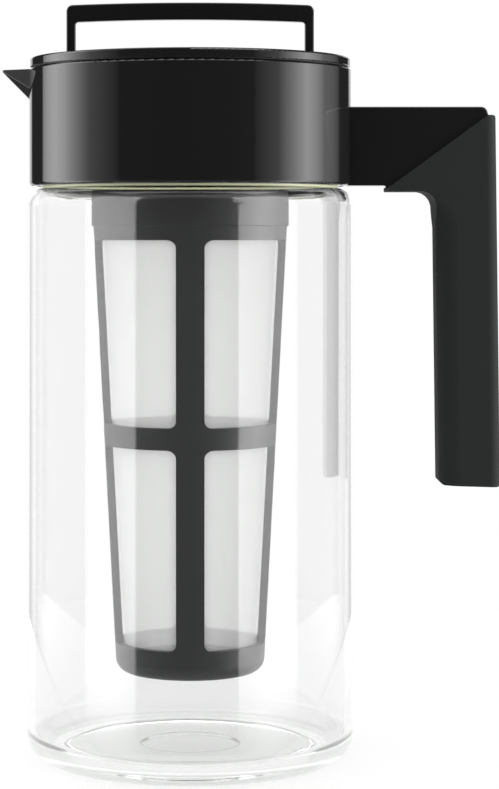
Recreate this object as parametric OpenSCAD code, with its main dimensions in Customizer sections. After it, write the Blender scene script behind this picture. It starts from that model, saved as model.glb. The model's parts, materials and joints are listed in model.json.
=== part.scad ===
// Iced tea maker: a clear jar with a spouted collar and side handle, a twist lid
// with a folding bail, and a tapered mesh filter that hangs from the lid.
// The jar's axis is Z, its foot stands on z = 0, the spout points to -X and the
// handle to +X.

/* [Jar] */
// Outside diameter of the jar
jar_d = 95; // [92:0.5:98]
// Height from the foot to the top of the shoulder
jar_h = 165.6; // [150:0.1:180]
// Wall of the jar
jar_wall = 2.2; // [1.8:0.1:2.6]
// Outside radius round the foot
foot_corner_r = 7.5; // [6:0.5:9]
// Outside radius of the shoulder
shoulder_r = 5.2; // [4:0.1:5.4]
// Thickness of the shoulder
shoulder_t = 1.5; // [1.3:0.1:2.2]
// Width of the flat ring that the jar stands on
foot_w = 3; // [2:0.5:5]
// Height of the underside above the foot ring
base_rise = 1.6; // [1.2:0.1:2.4]
// Thickness of the jar's floor
floor_t = 2.6; // [2:0.1:3.2]
// Diameter of the round recess under the floor
recess_d = 28.6; // [20:0.2:40]
// Depth of that recess above the underside
recess_depth = 1.2; // [0.6:0.1:1.4]
// Height of the neck above the shoulder
neck_h = 18.8; // [16:0.1:21]
// Height of the snap bead above the shoulder
snap_z = 9.5; // [6:0.5:12]
// How far the snap bead stands out of the neck
snap_out = 0.7; // [0.4:0.1:0.9]

/* [Collar] */
// How far the collar's face stands inside the jar's
collar_inset = 0.6; // [0:0.1:1]
// Height of the collar
collar_h = 34; // [33:0.1:35]
// Gap between the jar's shoulder and the collar
collar_gap = 0.5; // [0.4:0.1:1.6]
// Wall of the collar's outer skirt
collar_wall = 2.2; // [2:0.1:2.4]
// Wall of the inner sleeve that holds the neck
sleeve_wall = 1.75; // [1.5:0.05:1.9]
// Gap between the collar's outer skirt and its inner sleeve
sleeve_gap = 0.9; // [0.6:0.1:1.5]
// Thickness of the shelf that lies on the neck
shelf_t = 2.2; // [1.8:0.1:2.8]
// How far the shelf reaches inside the neck's outside diameter
shelf_in = 2.9; // [2.6:0.1:3.2]
// Rounding round the collar's lower edge
collar_low_r = 1; // [0.4:0.1:1.2]
// Thickness of the gasket between the shoulder and the inner sleeve
gasket_t = 0.5; // [0.4:0.1:1.4]
// Radial width of that gasket
gasket_w = 1.2; // [0.8:0.1:1.8]

/* [Spout] */
// Reach of the spout beyond the collar
spout_reach = 7.9; // [6:0.1:10]
// Half width of the spout where it meets the collar
spout_half_w = 5; // [4:0.1:8]
// Depth of the spout's keel where it meets the collar
spout_h = 8.2; // [7:0.1:9]
// Height of the spout's upright sides where they meet the collar
spout_side_h = 5; // [3:0.1:6]
// Wall of the spout
spout_wall = 1.2; // [1:0.1:1.5]

/* [Handle] */
// Gap between the jar and the finger side of the grip
finger_gap = 23.5; // [21:0.5:26]
// Height of the arm
arm_h = 22.8; // [20:0.1:26]
// Thickness of the arm
arm_w = 18; // [16:0.5:20]
// Rounding of the arm's long edges along its top
arm_round = 0.6; // [0.3:0.1:1.2]
// Thickness of the core inside the lower grip
core_w = 12; // [10:0.5:12]
// Depth of the core, from the finger side to the back of the arm
core_depth = 13.3; // [11:0.1:15]
// Length of the grip from its top to its lower end
grip_len = 107.4; // [95:0.1:115]
// Wall of the soft grip at the finger side and below the arm
grip_wall = 1.6; // [1.4:0.1:2.2]
// Wall of the soft grip at the back
grip_back = 2.4; // [2:0.1:3]
// Wall of the soft grip beside the arm
grip_side = 1; // [0.8:0.1:1.4]
// Outward lean of the grip in degrees
grip_lean = 0.7; // [0:0.1:1.5]
// Inside corner radius between arm and grip
grip_fillet_r = 4.6; // [3:0.1:5.5]
// Rounding of the grip's long edges at the finger side
grip_round = 6; // [4.5:0.1:6.4]
// Rounding of the grip's long edges at the back
grip_back_round = 3; // [2:0.1:4]
// Drop from the arm's top to the top of the grip
grip_drop = 2.4; // [1.5:0.1:4]
// Gap between the collar and the tip of the grip below the arm
grip_tip_gap = 10.4; // [6:0.1:13]
// Height of the tip's blunt end
grip_tip_h = 1.1; // [0.5:0.1:2]

/* [Lid] */
// How far the rim stands inside the collar's face
rim_inset = 0.2; // [0:0.1:0.6]
// Height of the lid's rim
rim_h = 2.6; // [2.5:0.1:4]
// Gap between rim and collar
lid_gap = 0.5; // [0.45:0.05:0.9]
// Depth of the dish inside the rim
dish_depth = 3.9; // [3.7:0.1:4.6]
// Width of the rim's top land
rim_land = 5.2; // [5:0.1:6]
// Thickness of the cover's deck
deck_t = 1.6; // [1.4:0.1:1.8]
// Thickness of the plug's top plate
plate_t = 1.4; // [1.2:0.1:1.8]
// Wall of the plug's valve skirt
valve_wall = 2.2; // [1.8:0.1:2.4]
// Wall of the plug's guide skirt
guide_wall = 1.8; // [1.4:0.1:2.2]
// Length of the guide skirt below the step
guide_len = 10; // [6:0.5:11]
// Thickness of the step plate between the two skirts
step_t = 1.6; // [1.2:0.1:2]
// Width of a pour window in degrees
window_deg = 44; // [36:1:50]
// Thickness of the lower sealing ring
lower_seal_t = 1.4; // [1:0.1:1.6]
// Radial width of the upper sealing ring
upper_seal_w = 0.9; // [0.7:0.1:1]
// Turn from open to locked in degrees
lid_turn = 60; // [50:1:62]

/* [Bail] */
// Width of an ear, from the rim's inner wall to the bail
ear_w = 5.4; // [4.8:0.1:7]
// Height of the bail above its pivot
bail_h = 18.1; // [13:0.1:19]
// Depth of the bail from front to back
bail_depth = 3.9; // [3.4:0.1:4.2]
// Thickness of the bail's arms
bail_arm = 2.7; // [2:0.1:3]
// Thickness of the bail's bar
bail_bar = 5; // [3.6:0.1:5.5]
// Rise of the bar's arch at its middle
bail_bow = 0.7; // [0.2:0.1:1]
// Radius of the pivot stubs
stub_r = 1.1; // [0.8:0.05:1.2]
// Length of the pivot stubs
stub_len = 3.4; // [2.6:0.1:3.8]

/* [Filter] */
// Diameter of the filter's ring
ring_d = 57.6; // [55:0.2:58]
// Wall of the filter's ring
ring_wall = 2.6; // [2.4:0.1:3]
// Height of the filter's ring
ring_h = 22.4; // [20:0.2:26]
// Distance from the shoulder's top down to the lower edge of the ring
ring_drop = 11.2; // [8:0.2:14]
// How far the frame under the ring stands inside it
frame_step = 0.5; // [0.4:0.1:1.5]
// Taper of the frame's side in degrees
frame_taper = 3; // [1.5:0.1:3.5]
// Height of the frame
frame_h = 129.4; // [110:0.1:134]
// Wall of the frame
frame_wall = 2.2; // [1.8:0.1:2.4]
// Radius round the frame's lower edge
frame_corner_r = 4; // [3:0.1:5]
// Height of the closed cup at the frame's lower end
cup_h = 8.7; // [6.2:0.1:12]
// Height of the frame's top band
band_h = 4; // [2.5:0.1:6]
// Height of the frame's middle band
mid_band_h = 6.2; // [5:0.1:10]
// Height of the middle band's lower edge above the frame's lower end
mid_band_z = 66; // [55:0.1:70]
// Width of a rib
rib_w = 8; // [6:0.1:11]
// Corner radius of the windows
pane_r = 2.2; // [1.5:0.1:3]
// Thickness of the woven mesh
mesh_t = 0.5; // [0.4:0.05:0.7]
// Turn that frees the filter from the lid in degrees
filter_turn = 60; // [55:1:65]

/* [Fits] */
// Clearance between pieces that turn or slide
run_gap = 0.3; // [0.25:0.05:0.35]
// Clearance between fixed pieces
fit_gap = 0.1; // [0.05:0.05:0.15]
// Radial clearance of the bail's stubs
stub_gap = 0.05; // [0.03:0.01:0.08]

/* [Hidden] */
$fn = 96;
eps = 0.01;

// How far a rounding's arc stands past its two edges, so that it crosses them
// cleanly instead of only touching them
hair = 0.002;

// Jar
jar_r = jar_d / 2;
collar_r = jar_r - collar_inset;
chamber_r = collar_r - collar_wall;
sleeve_fit = fit_gap + 0.15;
sleeve_r = chamber_r - sleeve_gap - sleeve_wall;
neck_r = sleeve_r - sleeve_fit;
neck_in_r = neck_r - jar_wall;
neck_top = jar_h + neck_h;
foot_out_r = jar_r - foot_corner_r;
foot_in_r = foot_out_r - foot_w;
recess_r = recess_d / 2;
recess_top = base_rise + recess_depth;
snap_h = 2;

// Collar
collar_z = jar_h + collar_gap;
collar_top = collar_z + collar_h;
sleeve_z = jar_h + gasket_t + fit_gap;
shelf_z = neck_top + fit_gap;
shelf_top = shelf_z + shelf_t;
shelf_r = neck_r - shelf_in;

// Lid
rim_r = collar_r - rim_inset;
dish_r = rim_r - rim_land;
rim_z = collar_top + lid_gap;
rim_top = rim_z + rim_h;
dish_z = rim_top - dish_depth;
deck_z = dish_z - deck_t;
plate_z = deck_z - plate_t;
lip_out = 1.3;
lip_t = 1.8;
lip_r = chamber_r - lip_out;
valve_r = lip_r - run_gap;
valve_in_r = valve_r - valve_wall;
lip_top = plate_z - run_gap;
lip_z = lip_top - lip_t;
lug_t = 1.8;
lug_z = lip_z - run_gap - lug_t;
lug_r = chamber_r - run_gap;
lug_deg = 18;
lug_play = 2;
lower_seal_z = shelf_top + run_gap;
step_z = lower_seal_z + lower_seal_t + run_gap;
guide_r = shelf_r - 0.5;
guide_in_r = guide_r - guide_wall;
window_z = step_z + step_t + 0.4;
window_top = plate_z - 0.6;
seal_groove_r = rim_r - 1.7;
seal_groove_depth = 0.6;

// Bail
bail_x = dish_r - ear_w;
pivot_z = dish_z + run_gap + bail_depth / 2;
ear_r = bail_depth / 2 - 0.1;
ear_x = bail_x + run_gap;
ear_root = 0.6;
ear_len = ear_w - run_gap + ear_root;

// Filter
ring_r = ring_d / 2;
ring_in_r = ring_r - ring_wall;
ring_z = jar_h - ring_drop;
ring_top = ring_z + ring_h;
hub_r = ring_in_r - run_gap;
hub_wall = 2;
hub_in_r = hub_r - hub_wall;
hub_z = ring_z + 12.6;
catch_z = hub_z + 2.5;
catch_t = 2;
catch_deg = 40;
catch_out = 1.4;
frame_z = ring_z - frame_h;
mid_z = frame_z + mid_band_z;
band_z = ring_z - band_h;
cup_top = frame_z + cup_h;
spigot_h = 4;
spigot_wall = 1.5;

// Handle
grip_x = jar_r + finger_gap;
arm_reach = grip_x + grip_wall + core_depth;
grip_tip_x = collar_r + grip_tip_gap;
arm_top = collar_z + arm_h;
grip_w = arm_w + 2 * grip_side;
grip_z = collar_z - grip_wall;
grip_top = arm_top - grip_drop;
grip_end = grip_top - grip_len;
grip_back_x = arm_reach + grip_back;
core_end_gap = 2.2;
arm_corner_r = 2;
lean_in = tan(grip_lean);
spout_keel_r = 0.8;
spout_top = collar_top - 0.1;

function frame_r(z) = ring_r - frame_step - (ring_z - z) * tan(frame_taper);

// Unit vector from p to q
function toward(p, q) = (q - p) / norm(q - p);

// Sine of the turn at corner b, positive where a counter-clockwise outline turns outward
function turn_of(a, b, c) = let (u = toward(a, b), v = toward(b, c)) u.x * v.y - u.y * v.x;

// Distance from corner b to the points where a fillet of radius r meets its edges
function tangent_len(a, b, c, r) =
    let (u = toward(b, a), v = toward(b, c), half = acos(u * v) / 2) r / tan(half);

function fillet_centre(a, b, c, r) =
    let (u = toward(b, a), v = toward(b, c), half = acos(u * v) / 2)
    b + toward([0, 0], u + v) * r / sin(half);

// The triangle over corner b, from a little past the corner to the points where its
// fillet meets the edges, or further back along them
module corner_patch(a, b, c, r, back) {
    past = 0.05;
    reach = back * tangent_len(a, b, c, r);
    polygon([
        b + toward(b, a) * reach,
        b + toward(fillet_centre(a, b, c, r), b) * past,
        b + toward(b, c) * reach
    ]);
}

module fillet_circle(a, b, c, r) {
    translate(fillet_centre(a, b, c, r))
        circle(r + hair);
}

// A polygon with true arcs at its corners. Each point is [x, y] or [x, y, radius],
// and the outline runs counter-clockwise. An outward corner loses what lies past its
// arc. An inward corner is filled up to the chord, and the arc is then cut into that.
module filleted(points) {
    n = len(points);
    xy = [for (p = points) [p.x, p.y]];
    radius = [for (p = points) len(p) > 2 ? p[2] : 0];
    before = [for (i = [0:n - 1]) xy[(i + n - 1) % n]];
    after = [for (i = [0:n - 1]) xy[(i + 1) % n]];
    outward = [for (i = [0:n - 1]) turn_of(before[i], xy[i], after[i]) > 0];
    outline = [
        for (i = [0:n - 1])
            let (
                inward = radius[i] > 0 && !outward[i],
                t = inward ? tangent_len(before[i], xy[i], after[i], radius[i]) : 0,
                ends = inward ? [before[i], after[i]] : [before[i]]
            )
            for (end = ends)
                xy[i] + toward(xy[i], end) * t
    ];
    difference() {
        polygon(outline);
        for (i = [0:n - 1])
            if (radius[i] > 0 && outward[i])
                difference() {
                    corner_patch(before[i], xy[i], after[i], radius[i], 1);
                    fillet_circle(before[i], xy[i], after[i], radius[i]);
                }
        for (i = [0:n - 1])
            if (radius[i] > 0 && !outward[i])
                intersection() {
                    corner_patch(before[i], xy[i], after[i], radius[i], 1.3);
                    fillet_circle(before[i], xy[i], after[i], radius[i]);
                }
    }
}

module ring(r_in, r_out, z, h) {
    translate([0, 0, z])
        rotate_extrude()
            translate([r_in, 0])
                square([r_out - r_in, h]);
}

// A block bent round the axis, centred on an angle
module arc_block(r_in, r_out, z, h, centre, width) {
    rotate([0, 0, centre - width / 2])
        translate([0, 0, z])
            rotate_extrude(angle = width)
                translate([r_in, 0])
                    square([r_out - r_in, h]);
}

// Turns an XZ outline into a plate of thickness w, centred on y = 0
module plate_xz(w) {
    translate([0, w / 2, 0])
        rotate([90, 0, 0])
            linear_extrude(w)
                children();
}

module jar() {
    shoulder_in = jar_h - shoulder_t;
    floor_z = base_rise + floor_t;
    bead_z = jar_h + snap_z;
    color([0.93, 0.95, 0.94, 0.35])
        rotate_extrude()
            filleted([
                [0, recess_top],
                [recess_r, recess_top],
                [recess_r, base_rise, 0.4],
                [foot_in_r - base_rise, base_rise],
                [foot_in_r, 0],
                [jar_r, 0, foot_corner_r],
                [jar_r, jar_h, shoulder_r],
                [neck_r, jar_h],
                [neck_r, bead_z - snap_h / 2],
                [neck_r + snap_out, bead_z - snap_h / 2 + snap_out / 2],
                [neck_r + snap_out, bead_z + snap_h / 2 - snap_out / 2],
                [neck_r, bead_z + snap_h / 2],
                [neck_r, neck_top, 0.8],
                [neck_in_r, neck_top, 0.8],
                [neck_in_r, shoulder_in, 1.2],
                [jar_r - jar_wall, shoulder_in, shoulder_r - shoulder_t],
                [jar_r - jar_wall, floor_z, foot_corner_r - jar_wall],
                [0, floor_z]
            ]);
}

module neck_gasket() {
    color([0.86, 0.87, 0.8])
        ring(neck_r + fit_gap, neck_r + fit_gap + gasket_w, jar_h, gasket_t);
}

module collar_ring() {
    groove_r = sleeve_r + snap_out;
    groove_low = jar_h + snap_z - snap_h / 2 - fit_gap;
    groove_high = jar_h + snap_z + snap_h / 2 + fit_gap;
    slope = groove_r - sleeve_r;
    rotate_extrude()
        filleted([
            [sleeve_r, sleeve_z],
            [sleeve_r + sleeve_wall, sleeve_z],
            [sleeve_r + sleeve_wall, shelf_z - 2],
            [chamber_r, shelf_z - 2],
            [chamber_r, collar_z],
            [collar_r, collar_z, collar_low_r],
            [collar_r, collar_top, 0.5],
            [chamber_r, collar_top, 0.4],
            [chamber_r, shelf_top, 0.8],
            [shelf_r, shelf_top, 0.4],
            [shelf_r, shelf_z],
            [sleeve_r, shelf_z],
            [sleeve_r, groove_high + slope],
            [groove_r, groove_high],
            [groove_r, groove_low],
            [sleeve_r, groove_low - slope]
        ]);
}

// The beak of the spout, or the channel that an inset leaves inside it. Its sides and
// keel run straight from the tip, past the collar's face, to the plane at root_x.
module beak(inset, top, root_x) {
    r = spout_keel_r;
    nose_h = 0.6;
    tip_x = -collar_r - spout_reach + r + 1.4 * inset;
    grow = (collar_r + spout_reach + root_x) / spout_reach;
    side_y = spout_half_w * grow - r - inset;
    side_h = spout_side_h * grow - inset / 2;
    keel_h = spout_h * grow - r - inset;
    hull($fn = 32) {
        translate([tip_x, 0, spout_top - nose_h])
            cylinder(r = r, h = nose_h + top);
        for (side = [-1, 1])
            translate([root_x, side * side_y, spout_top - side_h])
                cylinder(r = r, h = side_h + top);
        translate([root_x, 0, spout_top - keel_h])
            sphere(r);
    }
}

module collar_lips() {
    lip_span = lid_turn - lug_play;
    lip_centre = 90 - lug_deg / 2 - lug_play - lip_span / 2;
    stop_deg = 2;
    stop_z = lug_z - run_gap;
    for (half = [0, 180]) {
        arc_block(lip_r, chamber_r + eps, lip_z, lip_t, half + lip_centre, lip_span);
        for (a = [90 - lid_turn - lug_deg / 2 - lug_play, 90 + lug_deg / 2 + lug_play])
            arc_block(lip_r, chamber_r + eps, stop_z, lip_top - stop_z, half + a, stop_deg);
    }
}

// Outline of the arm and of the core inside the grip, grown by a fit
module handle_outline(grow) {
    arm_low = collar_z - grow;
    core_x = grip_x + grip_wall - grow;
    core_end = grip_end + core_end_gap - grow;
    back_x = arm_reach + grow;
    drop = arm_low - core_end;
    filleted([
        [collar_r - 1.5, arm_low],
        [core_x, arm_low, grip_fillet_r + grip_wall - grow],
        [core_x + drop * lean_in, core_end, 2],
        [back_x + (arm_top - core_end) * lean_in, core_end, 1.5],
        [back_x, arm_top + grow, arm_corner_r],
        [collar_r - 1.5, arm_top + grow]
    ]);
}

module handle_core(grow) {
    core_split = grip_z - grip_fillet_r - 1;
    tall = arm_top - grip_end;
    plate_xz(arm_w + 2 * grow)
        intersection() {
            handle_outline(grow);
            translate([0, core_split])
                square([2 * arm_reach, tall]);
        }
    plate_xz(core_w + 2 * grow)
        intersection() {
            handle_outline(grow);
            translate([0, core_split - tall])
                square([2 * arm_reach, tall + eps]);
        }
}

// What the rounding takes off one long edge of the arm's top and off its outer corner
module arm_edge_cut() {
    path_r = arm_corner_r - arm_round;
    reach = arm_round + 1;
    edge_y = arm_w / 2 - arm_round;
    translate([arm_reach - arm_corner_r, 0, arm_top - arm_corner_r]) {
        rotate([90, 0, 0])
            mirror([0, 0, 1])
                rotate_extrude(angle = 90)
                    translate([path_r, edge_y])
                        difference() {
                            square([reach, reach]);
                            circle(arm_round + hair);
                        }
        translate([0, edge_y, path_r])
            rotate([0, -90, 0])
                linear_extrude(arm_reach - arm_corner_r)
                    difference() {
                        square([reach, reach]);
                        circle(arm_round + hair);
                    }
    }
}

module collar() {
    color([0.04, 0.04, 0.042])
        difference() {
            union() {
                collar_ring();
                collar_lips();
                difference() {
                    union() {
                        difference() {
                            handle_core(0);
                            for (side = [0, 1])
                                mirror([0, side, 0])
                                    arm_edge_cut();
                        }
                        beak(0, 0, -chamber_r);
                    }
                    cylinder(r = chamber_r + collar_wall / 2, h = rim_top);
                }
            }
            beak(spout_wall, 1, -lip_r + spout_keel_r);
        }
}

// What the rounding takes off one long edge of the grip at the finger side. It
// fades out round the inside corner, where the grip turns into the block beside the arm.
module finger_edge_cut() {
    path_r = grip_round + grip_fillet_r + 0.1;
    reach = grip_round + 3;
    edge_y = grip_w / 2 - grip_round;
    centre_x = grip_x + path_r * lean_in - (path_r - grip_round) / cos(grip_lean);
    translate([centre_x, 0, grip_z - path_r])
        rotate([0, -grip_lean, 0]) {
            rotate([90, 0, 0])
                mirror([0, 0, 1])
                    rotate_extrude(angle = 90)
                        difference() {
                            translate([0, edge_y])
                                square([path_r, reach]);
                            translate([path_r, edge_y])
                                circle(grip_round + hair);
                        }
            translate([path_r, edge_y, -grip_len])
                linear_extrude(grip_len)
                    difference() {
                        translate([-path_r, 0])
                            square([path_r, reach]);
                        circle(grip_round + hair);
                    }
        }
}

module back_edge_cut() {
    reach = grip_back_round + 2;
    translate([grip_back_x, 0, grip_top])
        rotate([0, -grip_lean, 0])
            translate([-grip_back_round, grip_w / 2 - grip_back_round, -grip_len - 2])
                linear_extrude(grip_len + 4)
                    difference() {
                        square([reach, reach]);
                        circle(grip_back_round + hair);
                    }
}

module grip() {
    heel = 0.5;
    below = grip_z - grip_end - heel;
    color([0.12, 0.125, 0.122])
        difference() {
            plate_xz(grip_w)
                filleted([
                    [grip_tip_x, grip_z, 0.3],
                    [grip_x, grip_z, grip_fillet_r],
                    [grip_x + below * lean_in, grip_end + heel, 1.8],
                    [grip_back_x + grip_len * lean_in, grip_end, 1.2],
                    [grip_back_x, grip_top, 1],
                    [arm_reach, grip_top],
                    [grip_tip_x, grip_z + grip_tip_h]
                ]);
            handle_core(fit_gap);
            for (side = [0, 1])
                mirror([0, side, 0]) {
                    finger_edge_cut();
                    back_edge_cut();
                }
        }
}

// A block with a rounded top that holds one stub of the bail
module ear(side) {
    root = 0.3;
    top_r = 0.95 * ear_r;
    ear_top = pivot_z + ear_r;
    mirror([side < 0 ? 1 : 0, 0, 0])
        difference() {
            translate([ear_x, 0, 0])
                rotate([90, 0, 90])
                    linear_extrude(ear_len)
                        filleted([
                            [-ear_r, dish_z - root],
                            [ear_r, dish_z - root],
                            [ear_r, ear_top, top_r],
                            [-ear_r, ear_top, top_r]
                        ]);
            translate([ear_x - 1, 0, pivot_z])
                rotate([0, 90, 0])
                    cylinder(r = stub_r + stub_gap, h = 1 + stub_len);
        }
}

module lid_cover() {
    slope = 0.4;
    color([0.045, 0.045, 0.047])
        union() {
            difference() {
                rotate_extrude()
                    filleted([
                        [0, deck_z],
                        [valve_r, deck_z],
                        [valve_r, rim_z],
                        [rim_r, rim_z, 0.2],
                        [rim_r, rim_top, 0.6],
                        [dish_r, rim_top, 0.4],
                        [dish_r - slope, dish_z, 0.8],
                        [0, dish_z]
                    ]);
                ring(seal_groove_r, seal_groove_r + upper_seal_w + 2 * fit_gap,
                     rim_z - eps, seal_groove_depth + eps);
            }
            for (side = [-1, 1])
                ear(side);
        }
}

module lid_plug() {
    flange_t = 1.8;
    stiffeners = 6;
    stiffener_t = 1.4;
    stiffener_h = 2.8;
    flange_z = ring_top + run_gap;
    color([0.10, 0.10, 0.105])
        difference() {
            union() {
                rotate_extrude()
                    filleted([
                        [hub_in_r, hub_z],
                        [hub_r, hub_z],
                        [hub_r, flange_z],
                        [ring_r, flange_z, 0.4],
                        [ring_r, flange_z + flange_t, 0.4],
                        [hub_r, flange_z + flange_t, 0.6],
                        [hub_r, plate_z, 0.8],
                        [valve_in_r, plate_z, 0.8],
                        [valve_in_r, step_z + step_t],
                        [guide_in_r, step_z + step_t, 0.4],
                        [guide_in_r, step_z - guide_len],
                        [guide_r, step_z - guide_len, 0.6],
                        [guide_r, step_z],
                        [valve_r, step_z],
                        [valve_r, deck_z],
                        [0, deck_z],
                        [0, plate_z],
                        [hub_in_r, plate_z]
                    ]);
                for (a = [90, 270])
                    arc_block(valve_r - 0.5, lug_r, lug_z, lug_t, a, lug_deg);
                for (a = [0, 180])
                    arc_block(hub_r - 0.5, hub_r + catch_out, catch_z, catch_t, a, catch_deg);
                for (i = [0:stiffeners - 1])
                    rotate([0, 0, (i + 0.5) * 360 / stiffeners])
                        translate([hub_r - 0.5, -stiffener_t / 2, plate_z - stiffener_h])
                            cube([valve_in_r - hub_r + 1, stiffener_t, stiffener_h + eps]);
            }
            for (a = [0, 180])
                arc_block(valve_in_r - 1, valve_r + 1, window_z, window_top - window_z, a, window_deg);
        }
}

module lower_seal() {
    color([0.80, 0.80, 0.76])
        translate([0, 0, lower_seal_z])
            rotate_extrude()
                filleted([
                    [guide_r + run_gap, 0, 0.3],
                    [valve_r - 0.5, 0, 0.3],
                    [valve_r - 0.5, lower_seal_t, 0.3],
                    [guide_r + run_gap, lower_seal_t, 0.3]
                ]);
}

module upper_seal() {
    seal_in_r = seal_groove_r + fit_gap;
    color([0.16, 0.16, 0.16])
        ring(seal_in_r, seal_in_r + upper_seal_w, collar_top + run_gap,
             lid_gap - run_gap + seal_groove_depth - fit_gap);
}

// Front outline of the bail above its pivot: two arms and a bar with a slight arch
module bail_outline() {
    steps = 16;
    corner_r = 1.9;
    inner_r = 0.8;
    in_x = bail_x - bail_arm;
    flat_x = in_x - inner_r;
    arch = function(x, half) bail_bow * (1 - pow(x / half, 2));
    outer_z = bail_h - bail_bow;
    inner_z = outer_z - bail_bar;
    difference() {
        union() {
            filleted([
                [-bail_x, 0],
                [bail_x, 0],
                [bail_x, outer_z, corner_r],
                [-bail_x, outer_z, corner_r]
            ]);
            polygon([
                for (i = [0:steps])
                    let (x = (bail_x - corner_r) * (1 - 2 * i / steps))
                    [x, outer_z + arch(x, bail_x - corner_r)],
                [0, outer_z - 1]
            ]);
        }
        filleted([
            [-in_x, -1],
            [in_x, -1],
            [in_x, inner_z, inner_r],
            [-in_x, inner_z, inner_r]
        ]);
        polygon([
            for (i = [0:steps])
                let (x = flat_x * (1 - 2 * i / steps))
                [x, inner_z + arch(x, flat_x)],
            [0, inner_z - 1]
        ]);
    }
}

module bail() {
    color([0.05, 0.05, 0.052])
        translate([0, 0, pivot_z]) {
            plate_xz(bail_depth)
                bail_outline();
            for (side = [0, 1])
                mirror([side, 0, 0]) {
                    translate([bail_x - bail_arm, 0, 0])
                        rotate([0, 90, 0])
                            cylinder(r = bail_depth / 2, h = bail_arm);
                    translate([bail_x - 0.5, 0, 0])
                        rotate([0, 90, 0])
                            cylinder(r = stub_r, h = stub_len + 0.5);
                }
        }
}

module filter_ring() {
    groove_r = hub_r + catch_out + run_gap;
    groove_z = catch_z - run_gap;
    groove_top = catch_z + catch_t + run_gap;
    slot_r = groove_r - fit_gap;
    slot_z = (groove_z + groove_top) / 2;
    color([0.14, 0.14, 0.142])
        difference() {
            rotate_extrude()
                filleted([
                    [ring_in_r, ring_z],
                    [ring_r, ring_z, 0.4],
                    [ring_r, ring_top, 0.4],
                    [ring_in_r, ring_top],
                    [ring_in_r, groove_top],
                    [groove_r, groove_top],
                    [groove_r, groove_z],
                    [ring_in_r, groove_z]
                ]);
            for (a = [filter_turn, 180 + filter_turn])
                arc_block(hub_r - 1, slot_r, slot_z, ring_top - slot_z + 1, a, catch_deg + 4);
        }
}

// One pane of the frame as an outline in the plane across a diagonal, so that the
// ribs keep the same width from top to bottom.
module pane_outline(z0, z1) {
    half_rib = rib_w / 2;
    half = function(z) (sqrt(pow(frame_r(z), 2) - pow(half_rib, 2)) - half_rib) / sqrt(2);
    filleted([
        [-half(z0), z0, pane_r],
        [half(z0), z0, pane_r],
        [half(z1), z1, pane_r],
        [-half(z1), z1, pane_r]
    ]);
}

module filter_frame() {
    slant = frame_wall / cos(frame_taper);
    foot_r = frame_r(frame_z);
    in_foot_r = frame_r(frame_z + frame_wall) - slant;
    panes = [[cup_top, mid_z], [mid_z + mid_band_h, band_z]];
    color([0.13, 0.13, 0.135])
        difference() {
            rotate_extrude()
                filleted([
                    [0, frame_z],
                    [foot_r, frame_z, frame_corner_r],
                    [frame_r(ring_z), ring_z],
                    [ring_in_r - fit_gap, ring_z],
                    [ring_in_r - fit_gap, ring_z + spigot_h, 0.4],
                    [ring_in_r - fit_gap - spigot_wall, ring_z + spigot_h, 0.4],
                    [ring_in_r - fit_gap - spigot_wall, ring_z],
                    [frame_r(ring_z - 1) - slant, ring_z - 1],
                    [in_foot_r, frame_z + frame_wall, frame_corner_r - frame_wall],
                    [0, frame_z + frame_wall]
                ]);
            for (a = [45, 135])
                rotate([0, 0, a])
                    for (pane = panes)
                        translate([-ring_r - 1, 0, 0])
                            rotate([90, 0, 90])
                                linear_extrude(ring_d + 2)
                                    pane_outline(pane[0], pane[1]);
        }
}

module filter_mesh() {
    slant = frame_wall / cos(frame_taper) + run_gap;
    low = frame_z + frame_wall + frame_corner_r / 2;
    high = ring_z - 1.5;
    r_low = frame_r(low) - slant;
    r_high = frame_r(high) - slant;
    color([0.9, 0.9, 0.9, 0.7])
        rotate_extrude()
            polygon([
                [r_low - mesh_t, low],
                [r_low, low],
                [r_high, high],
                [r_high - mesh_t, high]
            ]);
}

jar();
neck_gasket();
collar();
grip();
lid_cover();
lid_plug();
lower_seal();
upper_seal();
bail();
filter_ring();
filter_frame();
filter_mesh();
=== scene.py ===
import json
import math

import bmesh
import bpy
from mathutils import Matrix, Vector

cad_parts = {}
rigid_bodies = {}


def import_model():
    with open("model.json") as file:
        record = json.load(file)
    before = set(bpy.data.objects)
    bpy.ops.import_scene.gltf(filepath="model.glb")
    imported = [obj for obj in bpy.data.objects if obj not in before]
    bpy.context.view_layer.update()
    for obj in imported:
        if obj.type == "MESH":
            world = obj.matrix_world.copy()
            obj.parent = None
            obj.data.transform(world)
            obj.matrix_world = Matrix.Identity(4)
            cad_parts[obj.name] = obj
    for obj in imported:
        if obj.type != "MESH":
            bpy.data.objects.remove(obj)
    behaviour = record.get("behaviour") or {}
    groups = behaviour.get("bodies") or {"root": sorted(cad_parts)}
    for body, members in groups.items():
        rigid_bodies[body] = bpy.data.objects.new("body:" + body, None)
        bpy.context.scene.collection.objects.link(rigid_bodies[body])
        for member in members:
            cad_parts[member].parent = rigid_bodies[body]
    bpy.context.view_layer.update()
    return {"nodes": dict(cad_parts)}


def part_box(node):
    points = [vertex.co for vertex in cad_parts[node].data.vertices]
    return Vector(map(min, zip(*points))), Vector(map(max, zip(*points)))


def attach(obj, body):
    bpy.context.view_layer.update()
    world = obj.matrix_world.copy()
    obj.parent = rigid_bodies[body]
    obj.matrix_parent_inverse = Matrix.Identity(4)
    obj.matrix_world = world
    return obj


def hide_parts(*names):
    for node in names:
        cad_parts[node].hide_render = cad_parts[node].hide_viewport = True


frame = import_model()

bl_info = {
    "name": "Iced tea maker looks",
    "version": (1, 0, 0),
    "blender": (4, 5, 0),
    "location": "3D View > Sidebar > Tea maker",
    "description": "Finishes, folding bail and studio stage for an iced tea maker",
    "category": "Object",
}

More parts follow.
